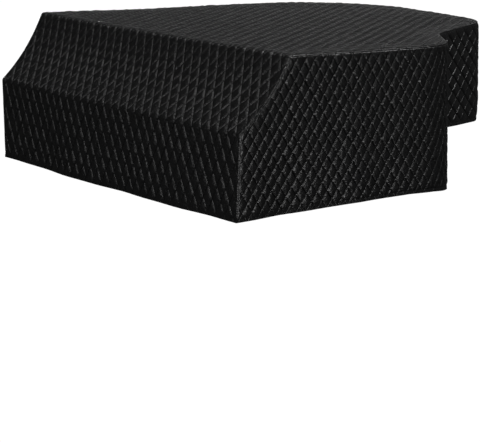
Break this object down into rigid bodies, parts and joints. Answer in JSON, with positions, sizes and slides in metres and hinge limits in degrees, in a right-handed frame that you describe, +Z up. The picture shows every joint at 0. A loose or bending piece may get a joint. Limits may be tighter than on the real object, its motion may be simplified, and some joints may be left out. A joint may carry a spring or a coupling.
{
  "type": "fitted grand piano cover",
  "caption": "Fitted cover of diamond-quilted cloth for a closed grand piano, with a flat top, a sloping keyboard end, deep skirts at the front and a shorter skirt round the tail.",
  "frame": {"origin": "on the underside of the top, where it rests on the piano's closed lid, in the middle of the box round the piano", "axes": "+X from the bass side to the treble side, +Y from the keyboard to the tail, +Z up"},
  "size_m": [1.5487, 1.5494, 0.5193],
  "materials": {
    "quilted_top": "black woven polyester, diamond quilted, soft sheen",
    "quilted_skirt": "black woven polyester, diamond quilted, soft sheen"
  },
  "bodies": {
    "root": {"main_panel": "quilted_top", "treble_side": "quilted_skirt", "tail_skirt": "quilted_skirt", "bass_side": "quilted_skirt"}
  },
  "joints": []
}
